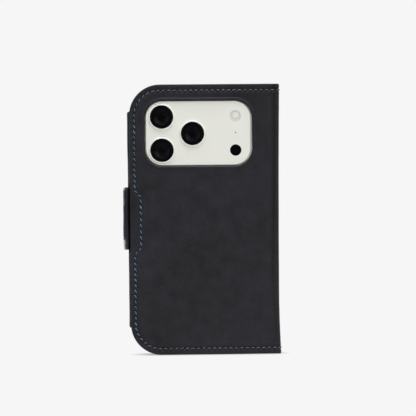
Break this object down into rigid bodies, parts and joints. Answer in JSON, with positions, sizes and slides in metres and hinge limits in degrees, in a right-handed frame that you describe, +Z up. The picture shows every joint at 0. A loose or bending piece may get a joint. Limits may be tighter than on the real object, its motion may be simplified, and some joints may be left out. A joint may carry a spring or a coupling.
{
  "type": "phone wallet case",
  "caption": "Leather folio wallet case for a phone, with a camera window, card pockets, a folding spine and a magnetic closing strap.",
  "frame": {"origin": "middle of the bottom of the closed case's box, standing upright", "axes": "+X from the closing strap to the spine, +Y from the camera side to the front cover, +Z up the case"},
  "size_m": [0.0924, 0.02, 0.1585],
  "materials": {
    "black_leather": "fine-grained, semi-matte black",
    "navy_leather": "smooth matte navy",
    "board": "pressed grey board",
    "blue_thread": "waxed blue-grey thread",
    "cradle_black": "moulded, matte",
    "handset_silver": "bead-blasted warm white",
    "screen_glass": "polished black",
    "lens_glass": "polished black",
    "flash_lens": "clear with a warm centre",
    "mic_black": "matte mesh",
    "satin_steel": "satin",
    "sheet_magnet": "flexible magnet sheet"
  },
  "bodies": {
    "back": {"back_leather": "black_leather", "back_board": "board", "back_lining": "navy_leather", "back_thread": "blue_thread", "cradle": "cradle_black", "side_welt": "navy_leather", "strap_tongue": "navy_leather", "phone_body": "handset_silver", "phone_screen": "screen_glass", "phone_plateau": "handset_silver", "phone_flash": "flash_lens", "phone_mic": "mic_black", "phone_sensor": "lens_glass", "phone_lens_ring_1": "handset_silver", "phone_lens_glass_1": "lens_glass", "phone_lens_ring_2": "handset_silver", "phone_lens_glass_2": "lens_glass", "phone_lens_ring_3": "handset_silver", "phone_lens_glass_3": "lens_glass"},
    "spine": {"spine_leather": "black_leather", "spine_lining": "navy_leather"},
    "cover": {"front_leather": "black_leather", "front_board": "board", "front_lining": "navy_leather", "cover_thread": "blue_thread", "cover_keeper": "satin_steel", "cash_pocket": "navy_leather", "card_pocket_1": "navy_leather", "card_pocket_2": "navy_leather", "card_pocket_3": "navy_leather"},
    "strap": {"strap_leather": "black_leather", "strap_lining": "navy_leather", "strap_bar": "satin_steel"},
    "tab": {"tab_leather": "black_leather", "tab_lining": "navy_leather", "tab_magnet": "sheet_magnet", "tab_thread": "blue_thread"},
    "key_side": {"phone_key_side": "handset_silver"},
    "key_up": {"phone_key_up": "handset_silver"},
    "key_down": {"phone_key_down": "handset_silver"}
  },
  "joints": [
    {"name": "spine_fold", "type": "hinge", "parent": "back", "child": "spine", "pos_m": [0.0439, -0.00873, 0.07925], "axis": [0, 0, -1], "range_deg": [0, 90], "deforming": ["tab_leather", "tab_lining", "tab_magnet", "tab_thread"]},
    {"name": "cover_fold", "type": "hinge", "parent": "spine", "child": "cover", "pos_m": [0.0439, 0.00602, 0.07925], "axis": [0, 0, -1], "range_deg": [0, 90], "deforming": ["tab_leather", "tab_lining", "tab_magnet", "tab_thread"]},
    {"name": "strap_fold", "type": "hinge", "parent": "back", "child": "strap", "pos_m": [-0.0438, -0.00743, 0.0801], "axis": [0, 0, 1], "range_deg": [0, 100]},
    {"name": "tab_fold", "type": "hinge", "parent": "strap", "child": "tab", "pos_m": [-0.0438, 0.00762, 0.0801], "axis": [0, 0, 1], "range_deg": [0, 90]},
    {"name": "key_side_press", "type": "slide", "parent": "back", "child": "key_side", "axis": [1, 0, 0], "range_m": [0, 0.0003], "stiffness_N_per_m": 2000},
    {"name": "key_up_press", "type": "slide", "parent": "back", "child": "key_up", "axis": [-1, 0, 0], "range_m": [0, 0.0003], "stiffness_N_per_m": 2000},
    {"name": "key_down_press", "type": "slide", "parent": "back", "child": "key_down", "axis": [-1, 0, 0], "range_m": [0, 0.0003], "stiffness_N_per_m": 2000}
  ]
}
